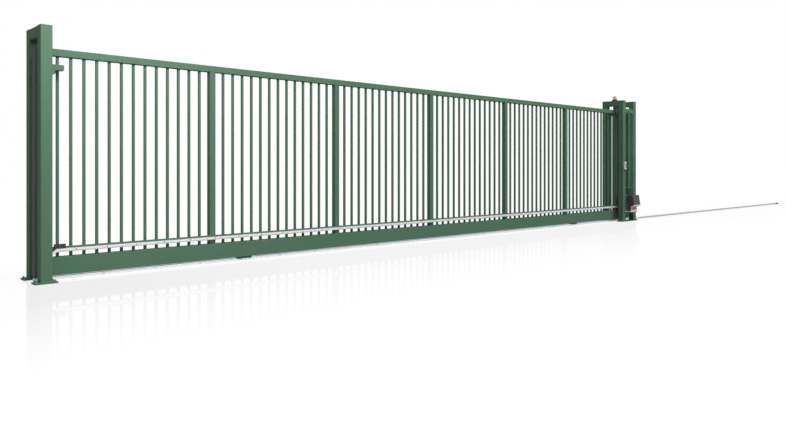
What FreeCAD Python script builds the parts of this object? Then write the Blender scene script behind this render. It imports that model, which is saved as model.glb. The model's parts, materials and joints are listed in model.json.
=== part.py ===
import FreeCAD, Part
import math
import os
import re
import Sketcher

# Sliding driveway gate on a ground rail, closed.
# Millimetres. +X runs along the gate toward the guide tower, +Y away from the
# drive side, +Z up. The origin is the middle of the underside of the base
# plate below the front post of the catch portal.

doc = FreeCAD.newDocument("SlidingGate")
sheet = doc.addObject("Spreadsheet::Sheet", "Dims")

SIZES = [
    # opening and portals
    ("clear_opening", 12000), ("portal_pitch", 475), ("head_room", 90),
    ("post_size", 120), ("post_spread", 396), ("post_round", 9),
    # base plates: how far they stand out beside the posts, and their bores
    ("plate_over", 55), ("plate_side", 10), ("plate_thick", 15),
    ("plate_hole", 18), ("hole_edge", 25),
    # leaf frame
    ("leaf_clearance", 50), ("leaf_height", 2475), ("frame_tube", 80),
    ("frame_round", 6), ("beam_height", 200), ("beam_depth", 100),
    ("bar_size", 28), ("bars_per_bay", 13), ("bay_count", 6), ("tail_bars", 3),
    ("end_post_lead", 29), ("tail_post_lead", 165),
    # rubber edges
    ("edge_thick", 37), ("edge_width", 100), ("edge_round", 12), ("edge_end", 10),
    ("strip_thick", 24), ("strip_width", 42), ("strip_round", 6), ("strip_low", 90),
    ("strip_drop", 145), ("strip_offset", 25),
    # ground rail and its end stop
    ("rail_base_width", 80), ("rail_base_thick", 6), ("rail_web", 10),
    ("rail_head", 24), ("rail_height", 40),
    ("stop_length", 150), ("stop_width", 120), ("stop_foot", 11), ("stop_height", 44),
    ("stop_block_length", 75), ("stop_block_width", 60), ("stop_gap", 113),
    ("travel_extra", 100),
    # wheels and their carriages
    ("wheel_tread", 65), ("wheel_flange", 75), ("wheel_width", 36),
    ("groove_play", 0.6), ("rail_play", 0.3), ("axle_size", 24), ("axle_play", 0.1),
    ("seat_play", 0.05), ("front_wheel_lead", 468), ("rear_wheel_lead", 300),
    ("carriage_length", 210), ("carriage_drop", 25), ("carriage_wall", 8),
    ("carriage_play", 5),
    # rack, its support and the pinion
    ("tooth_module", 6), ("pressure_angle", 20), ("flank_play", 0.25), ("tip_play", 0.4),
    ("rack_depth", 30), ("rack_back", 30), ("rack_low", 306), ("rack_lead", 125),
    ("rack_joint", 0.6), ("teeth_per_length", 54), ("rack_lengths", 12),
    ("support_height", 60), ("support_thick", 8), ("support_above", 22),
    ("pinion_teeth", 18), ("pinion_width", 34), ("beam_play", 6),
    ("shaft_size", 30), ("shaft_seat", 30), ("shaft_play", 0.3),
    # limit plates over the ends of the rack, and the ramps past its ends
    ("cam_length", 119), ("cam_height", 50), ("cam_depth", 24), ("cam_out", 58),
    ("ramp_level", 35), ("ramp_run", 48), ("ramp_drop", 43),
    # upper guide rollers and their brackets
    ("roller_size", 66), ("roller_height", 60), ("roller_play", 0.3), ("roller_pin", 20),
    ("pin_play", 0.1), ("bracket_thick", 8), ("bracket_length", 90), ("bracket_play", 1),
    ("bracket_lip", 18),
    # guide arms of the catch portal
    ("arm_reach", 151), ("arm_lap", 40), ("arm_height", 60), ("arm_drop", 246),
    ("arm_depth", 82), ("arm_web_drop", 42), ("arm_web_reach", 60),
    # ties and safety screens of the guide tower
    ("tie_drop", 150), ("tie_height", 90), ("tie_depth", 50), ("tie_inset", 6),
    ("screen_thick", 5), ("screen_edge", 14), ("screen_inset", 12),
    ("wire_pitch", 48), ("wire_size", 5), ("uprights", 1), ("upright_width", 40),
    ("front_screen_low", 760), ("rear_screen_low", 300),
    # motor: console, foot, gearbox
    ("console_top", 212), ("console_thick", 12), ("console_out", 150),
    ("console_in", 85), ("gusset_drop", 90), ("gusset_thick", 10),
    ("foot_high", 24), ("foot_over", 12),
    ("gearbox_length", 262), ("gearbox_out", 158), ("gearbox_in", 80),
    ("gearbox_high", 340), ("boss_size", 60), ("boss_reach", 24),
    # motor: hood, lip below its chin, front panel and release flap
    ("hood_length", 300), ("hood_out", 250), ("hood_in", 90), ("hood_high", 598),
    ("hood_slant", 34), ("hood_back", 14), ("hood_round", 22), ("chin_rise", 36),
    ("lip_thick", 16), ("panel_length", 250), ("panel_thick", 8), ("panel_gap", 4),
    ("flap_length", 210), ("flap_height", 46), ("flap_rise", 27), ("flap_thick", 8),
    # push-button box and beacon
    ("box_width", 64), ("box_height", 178), ("box_depth", 30), ("box_low", 1172),
    ("button_size", 36), ("button_reach", 12), ("button_rise", 62),
    ("beacon_size", 116), ("beacon_base_high", 32), ("lens_size", 88),
    ("lens_high", 54), ("lens_draft", 4), ("shoulder_high", 15), ("shoulder_in", 10),
    ("crown_high", 9), ("crown_in", 16), ("beacon_shift", 20),
]
for row, (alias, number) in enumerate(SIZES, start=1):
    sheet.set("A%d" % row, alias.replace("_", " "))
    sheet.set("B%d" % row, str(number))
    sheet.setAlias("B%d" % row, alias)
doc.recompute()

ALIASES = {alias for alias, number in SIZES}
# Standard tooth form: depth of a tooth space below the pitch line, in modules
DEDENDUM = 1.25
# Slope that makes three flats of a groove touch one circle
OCTAGON = math.tan(math.radians(22.5))
# Edges shorter than this are left out when long edges are picked
SMALL = 1.0


def val(text):
    """The number that an expression of sheet names stands for."""
    total = sheet.evalExpression(ex(text))
    return float(getattr(total, "Value", total))


def ex(text):
    """An expression of sheet names, written the way the document reads it."""
    return re.sub(r"[a-z]\w*", lambda m: "Dims." + m.group(0)
                  if m.group(0) in ALIASES else m.group(0), str(text))


def place(obj, x="0", y="0", z="0"):
    for axis, text in zip("xyz", (x, y, z)):
        obj.setExpression("Placement.Base." + axis, ex(text))


def box(name, x, y, z, length, width, height):
    """A block from its low corner."""
    obj = doc.addObject("Part::Box", name)
    for prop, text in (("Length", length), ("Width", width), ("Height", height)):
        obj.setExpression(prop, ex(text))
    place(obj, x, y, z)
    return obj


def rod(name, radius, length, x, y, z, along="z"):
    """A round bar from the middle of its first end."""
    obj = doc.addObject("Part::Cylinder", name)
    obj.setExpression("Radius", ex(radius))
    obj.setExpression("Height", ex(length))
    turn = {"z": (0, 0, 1, 0), "x": (0, 1, 0, 90), "y": (1, 0, 0, -90)}[along]
    obj.Placement.Rotation = FreeCAD.Rotation(FreeCAD.Vector(*turn[:3]), turn[3])
    place(obj, x, y, z)
    return obj


def cone(name, low_radius, high_radius, height, x, y, z):
    """An upright frustum from the middle of its lower end."""
    obj = doc.addObject("Part::Cone", name)
    for prop, text in (("Radius1", low_radius), ("Radius2", high_radius), ("Height", height)):
        obj.setExpression(prop, ex(text))
    place(obj, x, y, z)
    return obj


def fuse(name, parts):
    obj = doc.addObject("Part::MultiFuse", name)
    obj.Shapes = parts
    obj.Refine = True
    return obj


def cut(name, base, tool):
    obj = doc.addObject("Part::Cut", name)
    obj.Base, obj.Tool = base, tool
    obj.Refine = True
    return obj


def group(name, parts):
    """Pieces that stand apart, kept as one sub-part."""
    obj = doc.addObject("Part::Compound", name)
    obj.Links = parts
    return obj


def sketch_on(body, name, plane):
    sketch = body.newObject("Sketcher::SketchObject", name)
    face = [f for f in body.Origin.OriginFeatures if f.Role == plane][0]
    sketch.AttachmentSupport = [(face, "")]
    sketch.MapMode = "FlatFace"
    return sketch


def outline(body, name, plane, points):
    """A closed sketch through points that are pairs of expressions."""
    sketch = sketch_on(body, name, plane)
    spots = [FreeCAD.Vector(val(u), val(v), 0) for u, v in points]
    count = len(spots)
    for i in range(count):
        sketch.addGeometry(Part.LineSegment(spots[i], spots[(i + 1) % count]), False)
    for i in range(count):
        sketch.addConstraint(Sketcher.Constraint("Coincident", i, 2, (i + 1) % count, 1))
        for kind, at, text in (("DistanceX", spots[i].x, points[i][0]),
                               ("DistanceY", spots[i].y, points[i][1])):
            label = "%s%d" % (kind, i)
            number = sketch.addConstraint(Sketcher.Constraint(kind, -1, 1, i, 1, at))
            sketch.renameConstraint(number, label)
            sketch.setExpression("Constraints." + label, ex(text))
    return sketch


def rectangle(wide, tall):
    """The corners of a rectangle about the origin."""
    return [("%s(%s)/2" % (a, wide), "%s(%s)/2" % (b, tall))
            for a, b in (("-", "-"), ("", "-"), ("", ""), ("-", ""))]


def padded(name, plane, points, length, both_ways=False):
    """A body with one outline padded along +X, +Y or +Z, or both ways."""
    body = doc.addObject("PartDesign::Body", name)
    pad = body.newObject("PartDesign::Pad", name + "_pad")
    pad.Profile = outline(body, name + "_outline", plane, points)
    pad.setExpression("Length", ex(length))
    pad.Reversed = plane == "XZ_Plane"
    pad.Midplane = both_ways
    doc.recompute()
    return body, pad


def tube(name, wide, tall, length, rounding, along, x, y, z):
    """A section tube with its long edges rounded.

    x, y, z is the middle of the first end.
    """
    plane = {"z": "XY_Plane", "x": "YZ_Plane", "y": "XZ_Plane"}[along]
    body, pad = padded(name, plane, rectangle(wide, tall), length)
    axis = "xyz".index(along)
    soft = body.newObject("PartDesign::Fillet", name + "_round")
    soft.Base = (pad, ["Edge%d" % (i + 1) for i, e in enumerate(pad.Shape.Edges)
                       if abs(e.Vertexes[0].Point[axis] - e.Vertexes[-1].Point[axis]) > SMALL])
    soft.setExpression("Radius", ex(rounding))
    place(body, x, y, z)
    return body


nodes = {}


def keep(name, obj):
    obj.Label = name
    nodes[name] = obj
    return obj


# Places that several pieces share
LEAF_Y = "(post_spread/2)"
GUIDE_1 = "(clear_opening + post_size)"
GUIDE_2 = "(clear_opening + post_size + portal_pitch)"
GUIDE_MID = "(clear_opening + post_size + portal_pitch/2)"
LEAF_START = "(edge_thick - post_size/2)"
LEAD_POST = "(%s + frame_tube/2)" % LEAF_START
BAY = "((%s + end_post_lead - %s)/bay_count)" % (GUIDE_1, LEAD_POST)
BAR_GAP = "((%s - frame_tube - bars_per_bay*bar_size)/(bars_per_bay + 1))" % BAY
TAIL = "(portal_pitch + tail_post_lead - end_post_lead)"
TAIL_GAP = "((%s - frame_tube - tail_bars*bar_size)/(tail_bars + 1))" % TAIL
LEAF_LENGTH = "(bay_count*%s + %s + frame_tube)" % (BAY, TAIL)
LEAF_TOP = "(leaf_clearance + leaf_height)"
BEAM_TOP = "(leaf_clearance + beam_height)"
INFILL = "(leaf_height - beam_height - frame_tube)"
CROSS_LOW = "(%s + head_room)" % LEAF_TOP
PORTAL_TOP = "(%s + post_size)" % CROSS_LOW
CROSS_LENGTH = "(post_spread - post_size)"
TRAVEL = "(clear_opening + travel_extra)"
WHEEL_1 = "(%s + %s + front_wheel_lead)" % (LEAD_POST, BAY)
WHEEL_2 = "(%s + (bay_count - 1)*%s + rear_wheel_lead)" % (LEAD_POST, BAY)
WHEEL_Z = "(rail_height + rail_play + wheel_tread)"
STOP_X = "(%s + %s + stop_gap)" % (WHEEL_2, TRAVEL)
TOOTH = "(pi*tooth_module)"
RACK_FRONT = "(%s - frame_tube/2 - support_thick - rack_depth)" % LEAF_Y
RACK_TOP = "(rack_low + tooth_module + rack_back)"
RACK_REACH = "(%s - %s - frame_tube/2 - rack_lead)" % (GUIDE_MID, LEAD_POST)
RACK_START = "(%s - (floor(%s/%s) + 1/2)*%s)" % (GUIDE_MID, RACK_REACH, TOOTH, TOOTH)
RACK_END = "(%s + rack_lengths*teeth_per_length*%s)" % (RACK_START, TOOTH)
PINION_Y = "(%s - beam_depth/2 - beam_play - pinion_width)" % LEAF_Y
PINION_Z = "(rack_low + tooth_module - tooth_module*pinion_teeth/2)"
ROLLER_OFF = "(frame_tube/2 + roller_play + roller_size/2)"
ROLLER_LOW = "(%s - frame_tube/2 - roller_height/2)" % LEAF_TOP

# Portals: the catch, and the near and far portals of the guide tower
PORTALS = [("catch", "0"), ("guide_near", GUIDE_1), ("guide_far", GUIDE_2)]
for name, x in PORTALS:
    for side, y in (("front", "0"), ("rear", "post_spread")):
        keep("%s_%s_post" % (name, side),
             tube("%s_%s_tube" % (name, side), "post_size", "post_size",
                  "%s - plate_thick" % PORTAL_TOP, "post_round", "z", x, y, "plate_thick"))
    keep(name + "_crosspiece",
         tube(name + "_cross_tube", "post_size", "post_size", CROSS_LENGTH,
              "post_round", "y", x, "post_size/2", "%s - post_size/2" % PORTAL_TOP))


def base_plate(name, x, y, length):
    """A plate with an anchor hole at each corner, its underside on the ground."""
    width = "(post_size + 2*plate_side)"
    body = padded(name, "XY_Plane", rectangle(length, width), "plate_thick")[0]
    sketch = sketch_on(body, name + "_holes", "XY_Plane")
    for i, (sx, sy) in enumerate(((-1, -1), (1, -1), (1, 1), (-1, 1))):
        across = "%d*(%s/2 - hole_edge)" % (sx, length)
        along = "%d*(%s/2 - hole_edge)" % (sy, width)
        centre = FreeCAD.Vector(val(across), val(along), 0)
        sketch.addGeometry(Part.Circle(centre, FreeCAD.Vector(0, 0, 1),
                                       val("plate_hole/2")), False)
        for label, constraint, text in (
                ("bore", Sketcher.Constraint("Diameter", i, val("plate_hole")), "plate_hole"),
                ("across", Sketcher.Constraint("DistanceX", -1, 1, i, 3, centre.x), across),
                ("along", Sketcher.Constraint("DistanceY", -1, 1, i, 3, centre.y), along)):
            number = sketch.addConstraint(constraint)
            sketch.renameConstraint(number, "%s%d" % (label, i))
            sketch.setExpression("Constraints.%s%d" % (label, i), ex(text))
    holes = body.newObject("PartDesign::Pocket", name + "_bores")
    holes.Profile = sketch
    holes.Type = "ThroughAll"
    holes.Midplane = True
    place(body, x, y, "0")
    return body


# One plate under each catch post, one long plate under each pair of guide posts
keep("catch_base_plates", group("catch_plates", [
    base_plate("catch_%s_plate" % side, "0", y, "(post_size + 2*plate_over)")
    for side, y in (("front", "0"), ("rear", "post_spread"))]))
keep("guide_base_plates", group("guide_plates", [
    base_plate("guide_%s_plate" % side, GUIDE_MID, y,
               "(portal_pitch + post_size + 2*plate_over)")
    for side, y in (("front", "0"), ("rear", "post_spread"))]))

# Guide arms of the catch portal: an arm on the inner face of each post, with
# a web below it against the post
ARM_LOW = "(%s - arm_drop)" % LEAF_TOP
keep("catch_guide_arms", group("catch_arms", [
    fuse("catch_%s_arm" % side, [
        box("catch_%s_arm_bar" % side, "-arm_lap", y, ARM_LOW,
            "arm_lap + post_size/2 + arm_reach", "arm_depth", "arm_height"),
        box("catch_%s_arm_web" % side, "-arm_lap", y, "%s - arm_web_drop" % ARM_LOW,
            "arm_lap + post_size/2 + arm_web_reach", "arm_depth", "arm_web_drop")])
    for side, y in (("front", "post_size/2"),
                    ("rear", "post_spread - post_size/2 - arm_depth"))]))

# Guide tower: ties between the two portals and screens below them
SCREEN_X = "(%s + post_size/2)" % GUIDE_1
SCREEN_W = "(portal_pitch - post_size)"
TIE_LOW = "(%s - tie_drop)" % CROSS_LOW
keep("guide_ties", group("tie_tubes", [
    box("guide_%s_tie" % side, SCREEN_X, y, TIE_LOW, SCREEN_W, "tie_depth", "tie_height")
    for side, y in (("front", "tie_inset - post_size/2"),
                    ("rear", "post_spread + post_size/2 - tie_inset - tie_depth"))]))


def screen(name, y, low):
    """A framed safety screen of level wires below a tie, with flat uprights."""
    high = "(%s - %s)" % (TIE_LOW, low)
    gap = "(wire_pitch - wire_size)"
    rows = int(val("(%s - 2*screen_edge + wire_size)/wire_pitch" % high))
    body = padded(name, "XZ_Plane", rectangle(SCREEN_W, high), "screen_thick")[0]
    slot = body.newObject("PartDesign::Pocket", name + "_slot")
    left, right = "-(%s/2 - screen_edge)" % SCREEN_W, "(%s/2 - screen_edge)" % SCREEN_W
    first = "(screen_edge - %s/2)" % high
    slot.Profile = outline(body, name + "_slot_outline", "XZ_Plane", [
        (left, first), (right, first), (right, "%s + %s" % (first, gap)),
        (left, "%s + %s" % (first, gap))])
    slot.Type = "ThroughAll"
    slot.Midplane = True
    pattern = body.newObject("PartDesign::LinearPattern", name + "_rows")
    pattern.Originals = [slot]
    upright = [f for f in body.Origin.OriginFeatures if f.Role == "Z_Axis"][0]
    pattern.Direction = (upright, [""])
    pattern.Occurrences = rows
    pattern.setExpression("Length", ex("%d*wire_pitch" % (rows - 1)))
    body.Tip = pattern
    place(body, GUIDE_MID, y, "%s + %s/2" % (low, high))
    return fuse(name + "_mesh", [body] + [
        box("%s_upright_%d" % (name, i + 1),
            "%s + %d*%s/(uprights + 1) - upright_width/2" % (SCREEN_X, i + 1, SCREEN_W),
            y, low, "upright_width", "screen_thick", high)
        for i in range(int(val("uprights")))])


keep("front_safety_screen", screen("front_screen", "(screen_inset - post_size/2)",
                                   "front_screen_low"))
keep("rear_safety_screen", screen(
    "rear_screen", "(post_spread + post_size/2 - screen_inset - screen_thick)",
    "rear_screen_low"))

# Rubber strips on the posts that face the opening
keep("guide_safety_strips", group("guide_strips", [
    tube("guide_%s_strip" % side, "strip_thick", "strip_width",
         "%s - strip_drop - strip_low" % LEAF_TOP, "strip_round", "z",
         "%s - post_size/2 - strip_thick/2" % GUIDE_1, y, "strip_low")
    for side, y in (("front", "strip_offset"), ("rear", "post_spread - strip_offset"))]))

# Guide rollers, each between the plates of a U bracket on the post beside it
BRACKET_LOW = "(%s - bracket_play - bracket_thick)" % ROLLER_LOW
BRACKET_HIGH = "(roller_height + 2*bracket_play + 2*bracket_thick)"
BRACKET_REACH = "(%s - post_size/2 - %s + bracket_lip)" % (LEAF_Y, ROLLER_OFF)
brackets = []
for name, x in PORTALS[1:]:
    for side, sign in (("front", -1), ("rear", 1)):
        label = "%s_%s_roller" % (name, side)
        axis_y = "(%s + %d*%s)" % (LEAF_Y, sign, ROLLER_OFF)
        plate_y, back_y = {
            -1: ("post_size/2", "post_size/2"),
            1: ("post_spread - post_size/2 - %s" % BRACKET_REACH,
                "post_spread - post_size/2 - bracket_thick")}[sign]
        start = "%s - bracket_length/2" % x
        brackets.append(fuse(label + "_bracket", [
            box(label + "_back", start, back_y, BRACKET_LOW,
                "bracket_length", "bracket_thick", BRACKET_HIGH),
            box(label + "_lower", start, plate_y, BRACKET_LOW,
                "bracket_length", BRACKET_REACH, "bracket_thick"),
            box(label + "_upper", start, plate_y,
                "%s + %s - bracket_thick" % (BRACKET_LOW, BRACKET_HIGH),
                "bracket_length", BRACKET_REACH, "bracket_thick"),
            rod(label + "_pin", "roller_pin/2", BRACKET_HIGH, x, axis_y, BRACKET_LOW)]))
        keep(label, cut(label + "_body",
                        rod(label + "_blank", "roller_size/2", "roller_height",
                            x, axis_y, ROLLER_LOW),
                        rod(label + "_bore", "roller_pin/2 + pin_play", "roller_height",
                            x, axis_y, ROLLER_LOW)))
keep("roller_brackets", group("roller_bracket_set", brackets))

# Ground rail: a flange, a web and a round head
RAIL_LENGTH = "(%s + post_size/2)" % STOP_X
keep("ground_rail", fuse("rail", [
    box("rail_flange", "-post_size/2", "%s - rail_base_width/2" % LEAF_Y, "0",
        RAIL_LENGTH, "rail_base_width", "rail_base_thick"),
    box("rail_web_plate", "-post_size/2", "%s - rail_web/2" % LEAF_Y, "rail_base_thick",
        RAIL_LENGTH, "rail_web", "rail_height - rail_base_thick - rail_head/2"),
    rod("rail_head_bar", "rail_head/2", RAIL_LENGTH, "-post_size/2", LEAF_Y,
        "rail_height - rail_head/2", "x")]))
keep("rail_end_stop", fuse("end_stop", [
    box("end_stop_foot", STOP_X, "%s - stop_width/2" % LEAF_Y, "0",
        "stop_length", "stop_width", "stop_foot"),
    box("end_stop_block", STOP_X, "%s - stop_block_width/2" % LEAF_Y, "stop_foot",
        "stop_block_length", "stop_block_width", "stop_height - stop_foot")]))

# Leaf: beam with wheel slots, posts, top rail and bars
CARRIAGE_W = "(wheel_width + 2*carriage_play + 2*carriage_wall)"
CARRIAGE_LOW = "(leaf_clearance - carriage_drop)"
CARRIAGE_TOP = "(%s + wheel_flange + carriage_play + carriage_wall)" % WHEEL_Z
slots = [box("beam_slot_%s" % side, "%s - carriage_length/2" % x,
             "%s - %s/2" % (LEAF_Y, CARRIAGE_W), CARRIAGE_LOW,
             "carriage_length", CARRIAGE_W, "%s - %s" % (CARRIAGE_TOP, CARRIAGE_LOW))
         for side, x in (("front", WHEEL_1), ("rear", WHEEL_2))]
beam = tube("beam_tube", "beam_depth", "beam_height", LEAF_LENGTH, "frame_round", "x",
            LEAF_START, LEAF_Y, "leaf_clearance + beam_height/2")
keep("bottom_beam", cut("beam_slotted", beam, fuse("beam_slots", slots)))
keep("top_rail", tube("top_rail_tube", "frame_tube", "frame_tube", LEAF_LENGTH,
                      "frame_round", "x", LEAF_START, LEAF_Y,
                      "%s - frame_tube/2" % LEAF_TOP))


def leaf_post(name, x):
    return tube(name, "frame_tube", "frame_tube", INFILL, "frame_round", "z",
                x, LEAF_Y, BEAM_TOP)


bays = int(val("bay_count"))
keep("leading_post", leaf_post("leading_post_tube", LEAD_POST))
keep("middle_posts", group("middle_post_tubes", [
    leaf_post("post_tube_%d" % (k + 1), "%s + %d*%s" % (LEAD_POST, k + 1, BAY))
    for k in range(bays)]))
keep("tail_post", leaf_post("tail_post_tube",
                            "%s + bay_count*%s + %s" % (LEAD_POST, BAY, TAIL)))


def bars(name, start, gap, count):
    """A row of square bars that starts one gap after the post face."""
    return group(name, [
        box("%s_bar_%d" % (name, i + 1),
            "%s + %s + %d*(bar_size + %s)" % (start, gap, i, gap),
            "%s - bar_size/2" % LEAF_Y, BEAM_TOP, "bar_size", "bar_size", INFILL)
        for i in range(count)])


for k in range(bays):
    keep("bay_%d_bars" % (k + 1),
         bars("bay_%d" % (k + 1), "%s + %d*%s + frame_tube/2" % (LEAD_POST, k, BAY),
              BAR_GAP, int(val("bars_per_bay"))))
keep("tail_bars", bars("tail_bay", "%s + bay_count*%s + frame_tube/2" % (LEAD_POST, BAY),
                       TAIL_GAP, int(val("tail_bars"))))

keep("leading_safety_edge", tube(
    "nose", "edge_thick", "edge_width", "leaf_height - 2*edge_end", "edge_round", "z",
    "%s - edge_thick/2" % LEAF_START, LEAF_Y, "leaf_clearance + edge_end"))

# Wheels in U-shaped carriages, on axles through the cheeks. Three flats in the
# rim take the round head of the rail.
GROOVE = "(rail_head/2 + groove_play)"
GROOVE_FLAT = "(%s*%.6f)" % (GROOVE, OCTAGON)
GROOVE_SIDE = "(wheel_tread + %s - %s)" % (GROOVE, GROOVE_FLAT)
HALF_WHEEL = "(wheel_width/2)"
EYE = "(axle_size/2 + axle_play)"
WHEEL_PROFILE = [
    ("-" + HALF_WHEEL, EYE), (HALF_WHEEL, EYE), (HALF_WHEEL, "wheel_flange"),
    (GROOVE, "wheel_flange"), (GROOVE, GROOVE_SIDE), (GROOVE_FLAT, "wheel_tread"),
    ("-" + GROOVE_FLAT, "wheel_tread"), ("-" + GROOVE, GROOVE_SIDE),
    ("-" + GROOVE, "wheel_flange"), ("-" + HALF_WHEEL, "wheel_flange")]
axles, carriages = [], []
for side, x in (("front", WHEEL_1), ("rear", WHEEL_2)):
    cheek_y = "%s - %s/2" % (LEAF_Y, CARRIAGE_W)
    start = "%s - carriage_length/2" % x
    shell = box("carriage_%s_block" % side, start, cheek_y, CARRIAGE_LOW,
                "carriage_length", CARRIAGE_W, "%s - %s" % (CARRIAGE_TOP, CARRIAGE_LOW))
    inside = box("carriage_%s_inside" % side, start, "%s + carriage_wall" % cheek_y,
                 CARRIAGE_LOW, "carriage_length", "%s - 2*carriage_wall" % CARRIAGE_W,
                 "%s - carriage_wall - %s" % (CARRIAGE_TOP, CARRIAGE_LOW))
    bore = rod("carriage_%s_bore" % side, "axle_size/2 + seat_play", CARRIAGE_W,
               x, cheek_y, WHEEL_Z, "y")
    carriages.append(cut("carriage_%s" % side, shell,
                         fuse("carriage_%s_voids" % side, [inside, bore])))
    axles.append(rod("axle_%s" % side, "axle_size/2", CARRIAGE_W, x, cheek_y, WHEEL_Z, "y"))
    wheel = doc.addObject("PartDesign::Body", "wheel_%s" % side)
    turned = wheel.newObject("PartDesign::Revolution", "wheel_%s_turned" % side)
    turned.Profile = outline(wheel, "wheel_%s_profile" % side, "YZ_Plane", WHEEL_PROFILE)
    turned.ReferenceAxis = (turned.Profile[0], ["H_Axis"])
    turned.Angle = 360
    place(wheel, x, LEAF_Y, WHEEL_Z)
    keep("%s_wheel" % side, wheel)
keep("wheel_axles", group("axles", axles))
keep("wheel_carriages", group("carriage_pair", carriages))

# Rack in screwed-on lengths, teeth down, on a flat bar across the posts
pitch, module = val(TOOTH), val("tooth_module")
slope = math.tan(math.radians(val("pressure_angle")))
per_length, joint = int(val("teeth_per_length")), val("rack_joint/2")
tip_z, top_z = val("rack_low"), val(RACK_TOP)
root_z = tip_z + (1 + DEDENDUM) * module
tip_half = pitch / 4 - slope * module - val("flank_play")
root_half = tip_half + slope * (root_z - tip_z)
pieces = []
for piece in range(int(val("rack_lengths"))):
    first = val(RACK_START) + piece * per_length * pitch
    last = first + per_length * pitch
    points = [(first + joint, root_z)]
    for t in range(per_length):
        middle = first + (t + 0.5) * pitch
        points += [(middle - root_half, root_z), (middle - tip_half, tip_z),
                   (middle + tip_half, tip_z), (middle + root_half, root_z)]
    points += [(last - joint, root_z), (last - joint, top_z), (first + joint, top_z)]
    corners = [FreeCAD.Vector(px, val(RACK_FRONT), pz) for px, pz in points]
    face = Part.Face(Part.makePolygon(corners + corners[:1]))
    pieces.append(face.extrude(FreeCAD.Vector(0, val("rack_depth"), 0)))
rack = doc.addObject("Part::Feature", "rack_lengths_row")
rack.Shape = Part.makeCompound(pieces)
keep("rack", rack)

keep("rack_support", box("rack_flat_bar", LEAF_START,
                         "%s - frame_tube/2 - support_thick" % LEAF_Y,
                         "%s + support_above - support_height" % RACK_TOP,
                         LEAF_LENGTH, "support_thick", "support_height"))

# Limit plates over the rack's ends, and ramps that lead down past them
cams, ramps = [], []
for side, sign, end in (("front", 1, RACK_START), ("rear", -1, RACK_END)):
    cam = [("-cam_out", RACK_TOP), ("cam_length - cam_out", RACK_TOP),
           ("cam_length - cam_out", "%s + cam_height" % RACK_TOP),
           ("-cam_out", "%s + cam_height" % RACK_TOP)]
    ramp = [("-rack_joint/2", "rack_low"), ("-rack_joint/2", RACK_TOP),
            ("-ramp_level", RACK_TOP),
            ("-ramp_level - ramp_run", "%s - ramp_drop" % RACK_TOP),
            ("-ramp_level - ramp_run", "rack_low - ramp_drop"), ("-ramp_level", "rack_low")]
    for kind, corners, row in (("limit", cam, cams), ("ramp", ramp, ramps)):
        plate = padded("%s_%s" % (kind, side), "XZ_Plane",
                       [("%d*(%s)" % (sign, px), pz) for px, pz in corners], "cam_depth")[0]
        place(plate, end, "%s + rack_depth - cam_depth" % RACK_FRONT, "0")
        row.append(plate)
keep("limit_plates", group("limit_plate_pair", cams))
keep("rack_end_ramps", group("ramp_pair", ramps))

# Drive pinion with involute teeth, a space facing the rack tooth above it
teeth = int(val("pinion_teeth"))
pitch_r = module * teeth / 2
base_r = pitch_r * math.cos(math.radians(val("pressure_angle")))
tip_r, root_r = pitch_r + module - val("tip_play"), pitch_r - DEDENDUM * module
start_r = max(base_r, root_r)
radii = [start_r + share * (tip_r - start_r) for share in (0, 0.3, 0.6, 1)]


def involute(r):
    a = math.acos(min(1.0, base_r / r))
    return math.tan(a) - a


half = math.pi / (2 * teeth) - val("flank_play") / pitch_r + involute(pitch_r)
corners = []
for t in range(teeth):
    middle = math.pi / 2 + (t + 0.5) * 2 * math.pi / teeth
    left = [(root_r, middle - half)] + [(r, middle - half + involute(r)) for r in radii]
    right = [(r, 2 * middle - a) for r, a in reversed(left)]
    corners += [FreeCAD.Vector(val(GUIDE_MID) + r * math.cos(a), val(PINION_Y),
                               val(PINION_Z) + r * math.sin(a)) for r, a in left + right]
pinion = doc.addObject("Part::Feature", "pinion_gear")
pinion.Shape = Part.Face(Part.makePolygon(corners + corners[:1])).extrude(
    FreeCAD.Vector(0, val("pinion_width"), 0))
keep("drive_pinion", pinion)
keep("pinion_shaft", rod("pinion_shaft_bar", "shaft_size/2",
                         "%s - gearbox_in + shaft_seat" % PINION_Y,
                         GUIDE_MID, "gearbox_in - shaft_seat", PINION_Z, "y"))

# Motor: console between the front posts, foot and gearbox on it
CONSOLE_LOW = "(console_top - console_thick)"
GUSSET_LOW = "(%s - gusset_drop)" % CONSOLE_LOW
keep("motor_console", fuse("console", [
    box("console_plate", SCREEN_X, "-console_out", CONSOLE_LOW,
        SCREEN_W, "console_out + console_in", "console_thick"),
    box("console_gusset_near", SCREEN_X, "-post_size/2", GUSSET_LOW,
        "gusset_thick", "post_size", "gusset_drop"),
    box("console_gusset_far", "%s + %s - gusset_thick" % (SCREEN_X, SCREEN_W),
        "-post_size/2", GUSSET_LOW, "gusset_thick", "post_size", "gusset_drop")]))
FOOT_TOP = "(console_top + foot_high)"
keep("motor_foot", box("foot_flange", "%s - gearbox_length/2 - foot_over" % GUIDE_MID,
                       "-gearbox_out - foot_over", "console_top",
                       "gearbox_length + 2*foot_over",
                       "gearbox_out + foot_over + gearbox_in", "foot_high"))
keep("motor_gearbox", cut("gearbox", fuse("gearbox_blank", [
    box("gearbox_block", "%s - gearbox_length/2" % GUIDE_MID, "-gearbox_out", FOOT_TOP,
        "gearbox_length", "gearbox_out + gearbox_in", "gearbox_high - %s" % FOOT_TOP),
    rod("gearbox_boss", "boss_size/2", "boss_reach", GUIDE_MID, "gearbox_in", PINION_Z, "y")]),
    rod("gearbox_bore", "shaft_size/2 + shaft_play", "boss_reach + shaft_seat + shaft_play",
        GUIDE_MID, "gearbox_in - shaft_seat - shaft_play", PINION_Z, "y")))

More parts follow.
